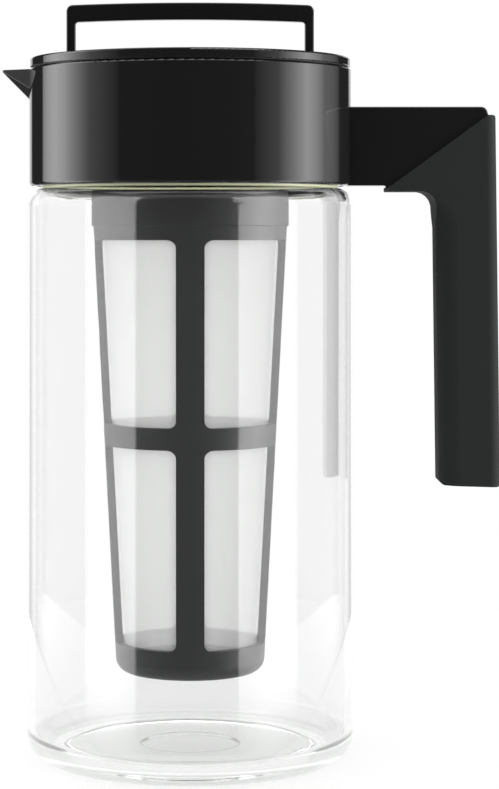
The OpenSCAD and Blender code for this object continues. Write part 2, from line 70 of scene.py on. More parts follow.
MM = 0.001
NODES = frame["nodes"]
PHOTO_W, PHOTO_H = 499, 789
SENSOR_MM = 36
PLASTIC_IOR = 1.5
MESH_WALL = 0.25 * MM
FRAME_TAPER = math.radians(3.0)
# share of the sleeve's widest radius at which the weave's threads are counted
WEAVE_RADIUS = 0.95
# cover of the blurred inner face, and how high the threads stand as a share of their pitch
INSIDE_SHARE = 0.55
THREAD_RISE = 0.3

# inner reflections after which a ray counts as caught between the jar's walls
CAUGHT_AFTER = 2.5
# refractions of a ray that has met the near wall alone, and the jar's walls but no filter
NEAR_WALL = 2.5
JAR_WALLS = 3.5


# Settings

class TeaMakerSizes(bpy.types.PropertyGroup):
    """Sizes of the pieces that are made here and of the surface detail"""

    weave_pitch: bpy.props.FloatProperty(
        name="Weave pitch", description="Distance between two threads of the filter's mesh",
        default=0.29 * MM, min=0.1 * MM, max=2 * MM, precision=5, unit="LENGTH")
    weave_open: bpy.props.FloatProperty(
        name="Weave opening", description="Open share of the weave along one direction",
        default=0.68, min=0.0, max=0.9, subtype="FACTOR")
    bail_edge: bpy.props.FloatProperty(
        name="Bail rounding", description="Rounding along the edges of the bail",
        default=0.6 * MM, min=0.1 * MM, max=1.2 * MM, precision=5, unit="LENGTH")
    bail_arm: bpy.props.FloatProperty(
        name="Bail arm", description="Thickness of the bail's arms",
        default=2.7 * MM, min=1.5 * MM, max=4 * MM, precision=5, unit="LENGTH")
    bail_bar: bpy.props.FloatProperty(
        name="Bail bar", description="Height of the bail's bar",
        default=5.0 * MM, min=3 * MM, max=6 * MM, precision=5, unit="LENGTH")
    bail_bow: bpy.props.FloatProperty(
        name="Bail bow", description="Rise of the bar's middle over its ends",
        default=0.7 * MM, min=0.0, max=2 * MM, precision=5, unit="LENGTH")


class TeaMakerColours(bpy.types.PropertyGroup):
    """Base colours of the finishes"""

    gloss_black: bpy.props.FloatVectorProperty(
        name="Gloss black", description="Collar, lid and bail",
        default=(0.0086, 0.0086, 0.0090), min=0, max=1, subtype="COLOR")
    filter_grey: bpy.props.FloatVectorProperty(
        name="Filter grey", description="Ring and frame of the filter, and the lid's plug",
        default=(0.033, 0.033, 0.034), min=0, max=1, subtype="COLOR")
    grip_grey: bpy.props.FloatVectorProperty(
        name="Grip grey", description="Soft sleeve on the handle",
        default=(0.0160, 0.0178, 0.0172), min=0, max=1, subtype="COLOR")
    thread_white: bpy.props.FloatVectorProperty(
        name="Thread white", description="Threads of the filter's mesh",
        default=(0.86, 0.86, 0.86), min=0, max=1, subtype="COLOR")
    seal_pale: bpy.props.FloatVectorProperty(
        name="Pale seal", description="Gasket and lower seal",
        default=(0.48, 0.49, 0.32), min=0, max=1, subtype="COLOR")
    seal_dark: bpy.props.FloatVectorProperty(
        name="Dark seal", description="Upper seal",
        default=(0.022, 0.022, 0.022), min=0, max=1, subtype="COLOR")


class TeaMakerStage(bpy.types.PropertyGroup):
    """Camera, lamps and floor"""

    camera_back: bpy.props.FloatProperty(
        name="Camera distance", description="From the jar's axis to the camera",
        default=0.707, min=0.3, max=3.0, unit="LENGTH")
    camera_up: bpy.props.FloatProperty(
        name="Camera height", description="Height of the camera above the floor",
        default=0.152, min=0.0, max=1.0, unit="LENGTH")
    lens: bpy.props.FloatProperty(
        name="Lens", description="Focal length on a 36 mm sensor",
        default=110.4, min=20.0, max=300.0)
    axis_px: bpy.props.FloatProperty(
        name="Axis in the picture", description="Pixel column of the jar's axis",
        default=190.2, min=0, max=PHOTO_W)
    horizon_px: bpy.props.FloatProperty(
        name="Horizon in the picture", description="Pixel row at the camera's height",
        default=234.5, min=0, max=PHOTO_H)
    left_light: bpy.props.FloatProperty(
        name="Left panel", description="Radiance of the tall softbox on the spout's side",
        default=4.4, min=0.0, max=12.0)
    right_light: bpy.props.FloatProperty(
        name="Right panel", description="Radiance of the tall softbox on the handle's side",
        default=5.7, min=0.0, max=12.0)
    top_light: bpy.props.FloatProperty(
        name="Top panel", description="Radiance of the softbox overhead",
        default=2.4, min=0.0, max=10.0)
    veil_light: bpy.props.FloatProperty(
        name="Jar panels", description="Radiance of the two softboxes that only the jar mirrors",
        default=2.6, min=0.0, max=10.0)
    edge_light: bpy.props.FloatProperty(
        name="Jar sides", description="Radiance beside those, towards the jar's outline",
        default=1.15, min=0.0, max=10.0)
    mesh_light: bpy.props.FloatProperty(
        name="Front panel", description="Radiance of the softbox that lights the filter's mesh",
        default=2.0, min=0.0, max=10.0)
    room_light: bpy.props.FloatProperty(
        name="Room", description="Level of the even light from all round",
        default=1.0, min=0.0, max=2.0)


# Node helpers

def new_material(name, colour, roughness, **values):
    """A material with one Principled BSDF, its constants set on the shader's own sockets"""
    material = bpy.data.materials.new(name)
    material.use_nodes = True
    material.diffuse_color = (*colour, 1)
    shader = material.node_tree.nodes["Principled BSDF"]
    shader.inputs["Base Color"].default_value = (*colour, 1)
    shader.inputs["Roughness"].default_value = roughness
    for socket, value in values.items():
        shader.inputs[socket.replace("_", " ")].default_value = value
    return material, shader


def add_group(material, group, **values):
    """Places a shader node group in a material with that material's own values"""
    node = material.node_tree.nodes.new("ShaderNodeGroup")
    node.node_tree = group
    for socket, value in values.items():
        node.inputs[socket.replace("_", " ")].default_value = value
    return node


def object_coordinates(tree):
    """Coordinates in metres from the jar's axis and the floor, fixed to the piece"""
    return tree.nodes.new("ShaderNodeTexCoord").outputs["Object"]


def group_tree(name, inputs, outputs):
    """An empty shader node group with named float inputs and outputs"""
    tree = bpy.data.node_groups.new(name, "ShaderNodeTree")
    for label, kind, default in inputs:
        socket = tree.interface.new_socket(name=label, in_out="INPUT", socket_type=kind)
        socket.default_value = default
    for label, kind in outputs:
        tree.interface.new_socket(name=label, in_out="OUTPUT", socket_type=kind)
    enter = tree.nodes.new("NodeGroupInput")
    leave = tree.nodes.new("NodeGroupOutput")
    return tree, enter, leave


def maths(tree, operation, first, second=None, clamp=False):
    """A Math node over sockets or plain numbers"""
    node = tree.nodes.new("ShaderNodeMath")
    node.operation = operation
    node.use_clamp = clamp
    for socket, value in zip(node.inputs, (first, second)):
        if value is None:
            continue
        if isinstance(value, (int, float)):
            socket.default_value = value
        else:
            tree.links.new(value, socket)
    return node.outputs[0]


def noise(tree, vector, scale, detail):
    """Noise whose scale comes from a socket"""
    node = tree.nodes.new("ShaderNodeTexNoise")
    node.inputs["Detail"].default_value = detail
    tree.links.new(vector, node.inputs["Vector"])
    tree.links.new(scale, node.inputs["Scale"])
    return node.outputs["Fac"]


def raise_bump(tree, shader, height, distance):
    """Feeds a shader's normal from a height"""
    bump = tree.nodes.new("ShaderNodeBump")
    bump.inputs["Strength"].default_value = 1.0
    bump.inputs["Distance"].default_value = distance
    tree.links.new(height, bump.inputs["Height"])
    tree.links.new(bump.outputs["Normal"], shader.inputs["Normal"])


def mould_group():
    """Height of a moulded surface: a slow waviness and a fine grain"""
    tree, enter, leave = group_tree(
        "moulded_surface",
        [("Wave Scale", "NodeSocketFloat", 40.0), ("Grain Scale", "NodeSocketFloat", 2500.0),
         ("Grain Share", "NodeSocketFloat", 0.3), ("Base Roughness", "NodeSocketFloat", 0.2),
         ("Roughness Spread", "NodeSocketFloat", 0.05)],
        [("Height", "NodeSocketFloat"), ("Roughness", "NodeSocketFloat")])
    vector = object_coordinates(tree)
    wave = noise(tree, vector, enter.outputs["Wave Scale"], 1.0)
    grain = noise(tree, vector, enter.outputs["Grain Scale"], 3.0)
    share = enter.outputs["Grain Share"]
    tree.links.new(maths(tree, "ADD", wave, maths(tree, "MULTIPLY", grain, share)),
                   leave.inputs["Height"])
    spread = maths(tree, "MULTIPLY", maths(tree, "SUBTRACT", grain, 0.5),
                   enter.outputs["Roughness Spread"])
    tree.links.new(maths(tree, "ADD", enter.outputs["Base Roughness"], spread, clamp=True),
                   leave.inputs["Roughness"])
    return tree


def weave_group():
    """A plain weave round the filter's axis: where threads are, and their height"""
    thread_edge = 6.0
    tree, enter, leave = group_tree(
        "plain_weave",
        [("Pitch", "NodeSocketFloat", 0.0004), ("Radius", "NodeSocketFloat", 0.025),
         ("Opening", "NodeSocketFloat", 0.5), ("Radius Low", "NodeSocketFloat", 0.022),
         ("Radius High", "NodeSocketFloat", 0.028), ("Height Low", "NodeSocketFloat", 0.02),
         ("Height High", "NodeSocketFloat", 0.15), ("Inside Share", "NodeSocketFloat", 0.5)],
        [("Threads", "NodeSocketFloat"), ("Height", "NodeSocketFloat")])
    split = tree.nodes.new("ShaderNodeSeparateXYZ")
    tree.links.new(object_coordinates(tree), split.inputs[0])
    x, y, z = (split.outputs[name] for name in "XYZ")
    around = maths(tree, "MULTIPLY", maths(tree, "ARCTAN2", y, x), enter.outputs["Radius"])
    crests = []
    for run in (around, z):
        turns = maths(tree, "DIVIDE", run, enter.outputs["Pitch"])
        wave = maths(tree, "COSINE", maths(tree, "MULTIPLY", turns, math.tau))
        crests.append(maths(tree, "ADD", maths(tree, "MULTIPLY", wave, 0.5), 0.5))
    high = maths(tree, "MAXIMUM", *crests)
    edge = maths(tree, "SUBTRACT", high, enter.outputs["Opening"])
    threads = maths(tree, "MULTIPLY", edge, thread_edge, clamp=True)
    # inside the sleeve the weave is blurred to an even share, which keeps two walls that are
    # seen through each other from beating
    low, high_end = enter.outputs["Height Low"], enter.outputs["Height High"]
    narrow, wide = enter.outputs["Radius Low"], enter.outputs["Radius High"]
    run = maths(tree, "DIVIDE", maths(tree, "SUBTRACT", z, low),
                maths(tree, "SUBTRACT", high_end, low))
    wall = maths(tree, "ADD", narrow,
                 maths(tree, "MULTIPLY", run, maths(tree, "SUBTRACT", wide, narrow)))
    radius = maths(tree, "SQRT", maths(tree, "ADD", maths(tree, "MULTIPLY", x, x),
                                       maths(tree, "MULTIPLY", y, y)))
    inside = maths(tree, "LESS_THAN", radius, wall)
    outside = maths(tree, "SUBTRACT", 1.0, inside)
    woven = maths(tree, "MULTIPLY", threads, outside)
    blurred = maths(tree, "MULTIPLY", inside, enter.outputs["Inside Share"])
    tree.links.new(maths(tree, "ADD", woven, blurred), leave.inputs["Threads"])
    tree.links.new(maths(tree, "MULTIPLY", high, outside), leave.inputs["Height"])
    return tree


# Mesh helpers

def skin(form, rings):
    """Joins equal rings of points into a closed tube with capped ends"""
    loops = [[form.verts.new(point) for point in ring] for ring in rings]
    count = len(loops[0])
    for one, two in zip(loops, loops[1:]):
        for at in range(count):
            after = (at + 1) % count
            form.faces.new((one[at], one[after], two[after], two[at]))
    form.faces.new(list(reversed(loops[0])))
    form.faces.new(loops[-1])


def rounded_ring(outer, inner, half_depth, radius, corner_steps=5):
    """A rounded rectangle between two points of the XZ plane, half_depth to each side in Y"""
    fullest = 0.98
    middle = (outer + inner) / 2
    half = (outer - inner) / 2
    reach = half.length
    along = half.normalized()
    radius = min(radius, fullest * reach, fullest * half_depth)
    ring = []
    for quarter, (a, b) in enumerate(((1, 1), (-1, 1), (-1, -1), (1, -1))):
        for step in range(corner_steps + 1):
            turn = math.radians(90 * (quarter + step / corner_steps))
            over = a * (reach - radius) + radius * math.cos(turn)
            out = b * (half_depth - radius) + radius * math.sin(turn)
            ring.append(middle + along * over + Vector((0, out, 0)))
    return ring


def piece_from(form, name, body, slot, node):
    """Turns a bmesh into a smooth piece that stands for a CAD node"""
    sharp_from = math.radians(50)
    bmesh.ops.recalc_face_normals(form, faces=form.faces)
    mesh = bpy.data.meshes.new(name)
    form.to_mesh(mesh)
    form.free()
    mesh.shade_smooth()
    mesh.set_sharp_from_angle(angle=sharp_from)
    mesh.materials.append(finish_of(slot))
    piece = bpy.data.objects.new(name, mesh)
    bpy.context.scene.collection.objects.link(piece)
    level = piece.modifiers.new("even shading", "WEIGHTED_NORMAL")
    level.keep_sharp = True
    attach(piece, body)
    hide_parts(node)
    return piece


# Finishes

def clear_plastic(group):
    """The jar's plastic, seen as glass, and plainly transparent for the light behind it"""
    material, shader = new_material("clear_plastic", (0.955, 0.959, 0.955), 0.0,
                                    Transmission_Weight=1.0, IOR=PLASTIC_IOR)
    tree = material.node_tree
    surface = add_group(material, group, Wave_Scale=18.0, Grain_Scale=60.0, Grain_Share=0.1,
                        Base_Roughness=0.0, Roughness_Spread=0.0)
    raise_bump(tree, shader, surface.outputs["Height"], 0.04 * MM)
    clear = tree.nodes.new("ShaderNodeBsdfTransparent")
    clear.inputs["Color"].default_value = (0.95, 0.955, 0.95, 1)
    # straight through for shadows, for light on other pieces and for caught rays
    path = tree.nodes.new("ShaderNodeLightPath")
    straight = maths(tree, "MAXIMUM", path.outputs["Is Shadow Ray"],
                     path.outputs["Is Diffuse Ray"])
    caught = maths(tree, "GREATER_THAN", path.outputs["Glossy Depth"], CAUGHT_AFTER)
    mix = tree.nodes.new("ShaderNodeMixShader")
    tree.links.new(maths(tree, "MAXIMUM", straight, caught), mix.inputs["Fac"])
    tree.links.new(shader.outputs["BSDF"], mix.inputs[1])
    tree.links.new(clear.outputs["BSDF"], mix.inputs[2])
    tree.links.new(mix.outputs["Shader"], tree.nodes["Material Output"].inputs["Surface"])
    return material


def plastic(name, colour, roughness, group, bump, gloss=0.5, **values):
    """A moulded finish, its roughness and bump from the moulded surface group"""
    material, shader = new_material(name, colour, roughness, IOR=PLASTIC_IOR,
                                    Specular_IOR_Level=gloss)
    tree = material.node_tree
    surface = add_group(material, group, Base_Roughness=roughness, **values)
    raise_bump(tree, shader, surface.outputs["Height"], bump)
    tree.links.new(surface.outputs["Roughness"], shader.inputs["Roughness"])
    return material


def woven_mesh(sizes, colour, group):
    """Pale threads with open holes between them"""
    material, shader = new_material("woven_mesh", colour, 0.5, IOR=PLASTIC_IOR)
    tree = material.node_tree
    low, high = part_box("filter_mesh")
    inner_high = high.x - MESH_WALL
    inner_low = inner_high - math.tan(FRAME_TAPER) * (high.z - low.z)
    weave = add_group(material, group, Pitch=sizes.weave_pitch, Radius=WEAVE_RADIUS * high.x,
                      Opening=sizes.weave_open, Radius_Low=inner_low,
                      Radius_High=inner_high, Height_Low=low.z, Height_High=high.z,
                      Inside_Share=INSIDE_SHARE)
    raise_bump(tree, shader, weave.outputs["Height"], THREAD_RISE * sizes.weave_pitch)
    # each wall counts once: a face that is seen from behind adds no threads of its own
    front = maths(tree, "SUBTRACT", 1.0,
                  tree.nodes.new("ShaderNodeNewGeometry").outputs["Backfacing"])
    tree.links.new(maths(tree, "MULTIPLY", weave.outputs["Threads"], front),
                   shader.inputs["Alpha"])
    return material


FINISHES = {}


def finish_of(slot):
    """The material of a finish, named as its slot in the record"""
    if slot not in FINISHES:
        raise RuntimeError(f"the finish {slot} is not made yet")
    return FINISHES[slot]


def cover(names, slot):
    """Gives CAD nodes a finish"""
    for name in names:
        mesh = NODES[name].data
        mesh.materials.clear()
        mesh.materials.append(finish_of(slot))


# Operators

class TEAMAKER_OT_finishes(bpy.types.Operator):
    """Make the shared surface groups and all finishes"""

    bl_idname = "teamaker.finishes"
    bl_label = "Make finishes"

    def execute(self, context):
        colours = context.scene.tea_colours
        sizes = context.scene.tea_sizes
        mould = mould_group()
        weave = weave_group()
        FINISHES["clear_plastic"] = clear_plastic(mould)
        FINISHES["black_gloss"] = plastic(
            "black_gloss", colours.gloss_black, 0.06, mould, 0.01 * MM,
            Wave_Scale=35.0, Grain_Scale=900.0, Grain_Share=0.03, Roughness_Spread=0.05)
        FINISHES["dark_plastic"] = plastic(
            "dark_plastic", colours.filter_grey, 0.42, mould, 0.006 * MM,
            Wave_Scale=60.0, Grain_Scale=3000.0, Grain_Share=0.5, Roughness_Spread=0.1)
        FINISHES["soft_grip"] = plastic(
            "soft_grip", colours.grip_grey, 0.72, mould, 0.08 * MM, gloss=0.22,
            Wave_Scale=50.0, Grain_Scale=2600.0, Grain_Share=0.6, Roughness_Spread=0.15)
        FINISHES["pale_seal"] = plastic(
            "pale_seal", colours.seal_pale, 0.35, mould, 0.02 * MM,
            Wave_Scale=80.0, Grain_Scale=2000.0, Grain_Share=0.3, Roughness_Spread=0.1)
        FINISHES["dark_seal"] = plastic(
            "dark_seal", colours.seal_dark, 0.5, mould, 0.02 * MM,
            Wave_Scale=80.0, Grain_Scale=2000.0, Grain_Share=0.3, Roughness_Spread=0.1)
        FINISHES["woven_mesh"] = woven_mesh(sizes, colours.thread_white, weave)
        return {"FINISHED"}


class TEAMAKER_OT_jar(bpy.types.Operator):
    """Finish the clear jar and the gasket on its neck"""

    bl_idname = "teamaker.jar"
    bl_label = "Jar"

    def execute(self, context):
        cover(["jar"], "clear_plastic")
        cover(["neck_gasket"], "pale_seal")
        return {"FINISHED"}


class TEAMAKER_OT_collar(bpy.types.Operator):
    """Finish the collar with its spout, arm and handle core"""

    bl_idname = "teamaker.collar"
    bl_label = "Collar"

    def execute(self, context):
        cover(["collar"], "black_gloss")
        return {"FINISHED"}


class TEAMAKER_OT_grip(bpy.types.Operator):
    """Finish the soft grip"""

    bl_idname = "teamaker.grip"
    bl_label = "Grip"

    def execute(self, context):
        cover(["grip"], "soft_grip")
        return {"FINISHED"}


class TEAMAKER_OT_lid(bpy.types.Operator):
    """Finish the lid's cover, plug and seals"""

    bl_idname = "teamaker.lid"
    bl_label = "Lid"

    def execute(self, context):
        cover(["lid_cover"], "black_gloss")
        cover(["lid_plug"], "dark_plastic")
        cover(["lower_seal"], "pale_seal")
        cover(["upper_seal"], "dark_seal")
        return {"FINISHED"}


class TEAMAKER_OT_bail(bpy.types.Operator):
    """Finish the folding bail"""

    bl_idname = "teamaker.bail"
    bl_label = "Bail"

    STUB_SHOWN = 3.4 * MM
    STUB_SUNK = 0.5 * MM
    STUB_R = 1.1 * MM
    STUB_EDGE = 0.3 * MM
    # between side and tip: how far from the tip as a share of the edge, and how far in
    BEVEL_SHARE = 0.3
    BEVEL_IN = 0.1 * MM
    STUB_SIDES = 32
    CORNER_OUT = 1.9 * MM
    CORNER_IN = 0.8 * MM
    # the foot stops short of its end, where its depth would vanish
    FOOT_TURN = 82
    FOOT_STEPS = 12
    CORNER_STEPS = 20
    BAR_STEPS = 16

    def execute(self, context):
        sizes = context.scene.tea_sizes
        low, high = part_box("bail")
        half_depth = (high.y - low.y) / 2
        pivot = low.z + half_depth
        reach = high.x - self.STUB_SHOWN
        form = bmesh.new()
        skin(form, [rounded_ring(outer, inner, depth, sizes.bail_edge)
                    for outer, inner, depth in self.stations(
                        sizes, reach, pivot, high.z, half_depth)])
        for side in (-1, 1):
            skin(form, self.stub(side, reach, high.x, pivot))
        piece_from(form, "bail_bar", "bail", "black_gloss", "bail")
        return {"FINISHED"}

    def stub(self, side, reach, end, pivot):
        """Rings of a pivot stub from inside the foot to its rounded tip"""
        root = side * (reach - self.STUB_SUNK)
        tip = side * end
        rings = []
        for x, radius in ((root, self.STUB_R), (tip - side * self.STUB_EDGE, self.STUB_R),
                          (tip - side * self.BEVEL_SHARE * self.STUB_EDGE,
                           self.STUB_R - self.BEVEL_IN),
                          (tip, self.STUB_R - self.STUB_EDGE)):
            rings.append([Vector((x, radius * math.cos(turn), pivot + radius * math.sin(turn)))
                          for turn in (math.tau * at / self.STUB_SIDES
                                       for at in range(self.STUB_SIDES))])
        return rings

    def stations(self, sizes, reach, pivot, crown, half_depth):
        """Pairs of an outer and an inner point, with the half depth there, foot to foot"""
        bow = sizes.bail_bow
        top_out = crown - bow
        top_in = top_out - sizes.bail_bar
        inside = reach - sizes.bail_arm
        flat_out = reach - self.CORNER_OUT
        flat_in = inside - self.CORNER_IN

        def bar_point(x, level, flat):
            """A point of the bowed bar, left of the middle"""
            return Vector((-x, 0, level + bow * (1 - (x / flat) ** 2)))

        left = []
        for step in range(self.FOOT_STEPS + 1):
            turn = math.radians(self.FOOT_TURN * (1 - step / self.FOOT_STEPS))
            z = pivot - half_depth * math.sin(turn)
            left.append((Vector((-reach, 0, z)), Vector((-inside, 0, z)),
                         half_depth * math.cos(turn)))
        start = top_in - self.CORNER_IN
        left.append((Vector((-reach, 0, start)), Vector((-inside, 0, start)), half_depth))

        # round the corner: the outer point climbs the arm, turns and runs along the bar
        # while the inner one goes round its own small arc
        rise = (top_out - self.CORNER_OUT) - start
        bend = self.CORNER_OUT * math.pi / 2
        total = rise + bend + flat_out - flat_in
        for step in range(1, self.CORNER_STEPS + 1):
            gone = total * step / self.CORNER_STEPS
            turn = math.radians(90 * step / self.CORNER_STEPS)
            inner = Vector((-flat_in - self.CORNER_IN * math.cos(turn), 0,
                            start + self.CORNER_IN * math.sin(turn)))
            if gone < rise:
                outer = Vector((-reach, 0, start + gone))
            elif gone < rise + bend:
                angle = (gone - rise) / self.CORNER_OUT
                outer = Vector((-flat_out - self.CORNER_OUT * math.cos(angle), 0,
                                top_out - self.CORNER_OUT * (1 - math.sin(angle))))
            else:
                outer = bar_point(flat_out - (gone - rise - bend), top_out, flat_out)
            left.append((outer, inner, half_depth))
        for step in range(1, self.BAR_STEPS):
            x = flat_in * (1 - step / self.BAR_STEPS)
            left.append((bar_point(x, top_out, flat_out), bar_point(x, top_in, flat_in),
                         half_depth))
        middle = (bar_point(0, top_out, flat_out), bar_point(0, top_in, flat_in), half_depth)
        right = [(Vector((-outer.x, 0, outer.z)), Vector((-inner.x, 0, inner.z)), depth)
                 for outer, inner, depth in reversed(left)]
        return [*left, middle, *right]


class TEAMAKER_OT_filter(bpy.types.Operator):
    """Finish the filter's ring, frame and woven sleeve"""

    bl_idname = "teamaker.filter"
    bl_label = "Filter"

    def execute(self, context):
        cover(["filter_ring", "filter_frame"], "dark_plastic")
        cover(["filter_mesh"], "woven_mesh")
        return {"FINISHED"}


class TEAMAKER_OT_stage(bpy.types.Operator):
    """Make the floor, the room, the softboxes and the camera"""

    bl_idname = "teamaker.stage"
    bl_label = "Stage"

    # most of the floor lies behind the part, so that the jar's front mirrors no edge of it
    FLOOR_R = 0.19
    FLOOR_BACK = 0.12
    FLOOR_SIDES = 96
    FLOOR_COLOUR = (0.82, 0.82, 0.82)
    FLOOR_ROUGHNESS = 0.7
    # the room leaves the floor darker near the part, so its own white falls off outward:
    # from the first level at the first distance from the jar's axis to the second
    FLOOR_RUN = (0.05, 0.17)
    FLOOR_WHITE = (0.33, 0.27)

    # what gloss shows of the room: in front, the table below, and what caught rays find
    FRONT_LEVEL = 0.01
    BELOW_LEVEL = 0.22
    CAUGHT_LEVEL = 0.5
    # where in a unit vector white behind, table below and the jar's own white begin, and
    # how steeply each of them rises from there
    BEHIND_FROM, BEHIND_RISE = 0.90, 30.0
    BELOW_FROM, BELOW_RISE = -0.35, 4.0
    WALL_FROM, WALL_RISE = -0.8, 5.0

    BOX_DISTANCE = 0.80
    BOX_CENTRE = (0, 0, 0.15)
    PANEL_TALL = 1.6
    VEIL_TALL = 1.4
    # place, aim, width and height of the lamp overhead and of the one for the mesh
    TOP_BOX = (Vector((0, 0.15, 1.2)), Vector((0, 0.15, 0)), 1.4, 1.0)
    FRONT_BOX = (Vector((0, -1.1, 0.3)), Vector((0, 0, 0.11)), 1.3, 1.0)
    # feathered softboxes, as azimuth from the camera's side in degrees and level: a faint
    # rim, a knee where the light begins, the full stretch and the far rim
    LEFT_PANEL = ((50, 0.02), (73, 0.2), (98, 1.0), (108, 1.0), (127, 0.25))
    RIGHT_PANEL = ((45, 0.02), (63, 0.15), (88, 0.9), (108, 0.2), (130, 0.02))
    # the same for the jar's own: even beside the filter, falling off towards its outline
    LEFT_VEIL = ((37.5, 1.0), (76, 1.0))
    RIGHT_VEIL = ((33, 1.0), (78, 1.0))
    OUTLINE = ((115, 1.0), (135, 0.25), (150, 0.05))
    LEFT_EDGE = ((76, 1.0), *OUTLINE)
    RIGHT_EDGE = ((78, 1.0), *OUTLINE)
    # share of the softbox's height, level: they fade out above the foot
    VEIL_RISE = ((0.0, 0.08), (0.28, 0.08), (0.322, 1.0), (1.0, 1.0))
    EDGE_RISE = ((0.0, 0.45), (0.31, 0.45), (0.35, 1.0), (1.0, 1.0))

    def execute(self, context):
        stage = context.scene.tea_stage
        self.make_floor()
        self.make_room(stage)
        self.make_panels(stage)
        self.make_camera(context, stage)
        context.scene.view_settings.view_transform = "Standard"
        return {"FINISHED"}

    def make_floor(self):
        """A pale disc that keeps the shadow and shows white to the camera, gloss and glass"""
        mesh = bpy.data.meshes.new("floor")
        form = bmesh.new()
        bmesh.ops.create_circle(form, cap_ends=True, radius=self.FLOOR_R,
                                segments=self.FLOOR_SIDES,
                                matrix=Matrix.Translation((0, self.FLOOR_BACK, 0)))
        form.to_mesh(mesh)
        form.free()
        floor = bpy.data.objects.new("floor", mesh)
        bpy.context.scene.collection.objects.link(floor)
        material, shader = new_material("pale_floor", self.FLOOR_COLOUR,
                                        self.FLOOR_ROUGHNESS)
        tree = material.node_tree
        path = tree.nodes.new("ShaderNodeLightPath")
        seen = maths(tree, "MAXIMUM", path.outputs["Is Camera Ray"],
                     maths(tree, "MAXIMUM", path.outputs["Is Glossy Ray"],
                           path.outputs["Is Transmission Ray"]))
        shader.inputs["Emission Color"].default_value = (1, 1, 1, 1)
        out = tree.nodes.new("ShaderNodeVectorMath")
        out.operation = "LENGTH"
        tree.links.new(object_coordinates(tree), out.inputs[0])
        white = tree.nodes.new("ShaderNodeMapRange")
        for socket, value in zip(("From Min", "From Max", "To Min", "To Max"),
                                 (*self.FLOOR_RUN, *self.FLOOR_WHITE)):
            white.inputs[socket].default_value = value
        tree.links.new(out.outputs["Value"], white.inputs["Value"])
        tree.links.new(maths(tree, "MULTIPLY", seen, white.outputs[0]),
                       shader.inputs["Emission Strength"])
        mesh.materials.append(material)

    def make_room(self, stage):
        """White behind, an even light on the part, and a dim room where gloss looks forward"""
        world = bpy.data.worlds.new("room")
        bpy.context.scene.world = world
        world.use_nodes = True
        tree = world.node_tree
        tree.nodes.clear()
        path = tree.nodes.new("ShaderNodeLightPath")
        camera = path.outputs["Is Camera Ray"]
        through = path.outputs["Is Transmission Ray"]
        glossy = path.outputs["Glossy Depth"]
        split = tree.nodes.new("ShaderNodeSeparateXYZ")
        tree.links.new(tree.nodes.new("ShaderNodeTexCoord").outputs["Generated"],
                       split.inputs[0])
        # white straight through the plastic, and for what its own walls mirror from behind
        # and from the sides, but not for the gloss of what stands in it
        direct = maths(tree, "LESS_THAN",
                       maths(tree, "ADD", glossy, path.outputs["Diffuse Depth"]), 0.5)
        wall = maths(tree, "MULTIPLY",
                     maths(tree, "LESS_THAN", path.outputs["Transmission Depth"], JAR_WALLS),
                     maths(tree, "MULTIPLY",
                           maths(tree, "SUBTRACT", split.outputs["Y"], self.WALL_FROM),
                           self.WALL_RISE, clamp=True))
        caught = maths(tree, "MULTIPLY", maths(tree, "GREATER_THAN", glossy, CAUGHT_AFTER),
                       self.CAUGHT_LEVEL)
        passed = maths(tree, "MULTIPLY", through, maths(tree, "MAXIMUM", direct, wall))
        seen = maths(tree, "MAXIMUM", camera, maths(tree, "MAXIMUM", caught, passed))
        # what gloss shows: the white backdrop behind, a pale table below, a dim room in front
        behind = maths(tree, "MULTIPLY",
                       maths(tree, "SUBTRACT", split.outputs["Y"], self.BEHIND_FROM),
                       self.BEHIND_RISE, clamp=True)
        below = maths(tree, "MULTIPLY",
                      maths(tree, "SUBTRACT", self.BELOW_FROM, split.outputs["Z"]),
                      self.BELOW_RISE, clamp=True)
        shown = maths(tree, "MAXIMUM", behind, maths(tree, "MULTIPLY", below, self.BELOW_LEVEL))
        lifted = maths(tree, "ADD", maths(tree, "MULTIPLY", shown, 1 - self.FRONT_LEVEL),
                       self.FRONT_LEVEL)
        mirrored = maths(tree, "MAXIMUM", path.outputs["Is Glossy Ray"], through)
        gloss = maths(tree, "MULTIPLY", mirrored, lifted)
        rest = maths(tree, "SUBTRACT", 1.0, maths(tree, "MAXIMUM", seen, mirrored), clamp=True)
        level = maths(tree, "ADD", maths(tree, "MAXIMUM", seen, gloss),
                      maths(tree, "MULTIPLY", rest, stage.room_light))
        light = tree.nodes.new("ShaderNodeBackground")
        light.inputs["Color"].default_value = (1, 1, 1, 1)
        tree.links.new(level, light.inputs["Strength"])
        leave = tree.nodes.new("ShaderNodeOutputWorld")
        tree.links.new(light.outputs[0], leave.inputs["Surface"])

    def softbox(self, name, place, aim, wide, tall, radiance):
        """A rectangular lamp of a given radiance"""
        lamp = bpy.data.lights.new(name, "AREA")
        lamp.shape = "RECTANGLE"
        lamp.size = wide
        lamp.size_y = tall
        lamp.energy = radiance * math.pi * wide * tall
        holder = bpy.data.objects.new(name, lamp)
        bpy.context.scene.collection.objects.link(holder)
        holder.location = place
        holder.rotation_euler = (aim - place).to_track_quat("-Z", "Y").to_euler()
        return holder

    def grade(self, tree, run, points):
        """A colour ramp over one direction of a softbox"""
        ramp = tree.nodes.new("ShaderNodeValToRGB")
        stops = ramp.color_ramp.elements
        for at, level in points[1:-1]:
            stops.new(at)
        for stop, (at, level) in zip(stops, points):
            stop.position = at
            stop.color = (level, level, level, 1)
        tree.links.new(run, ramp.inputs[0])
        return ramp.outputs[0]

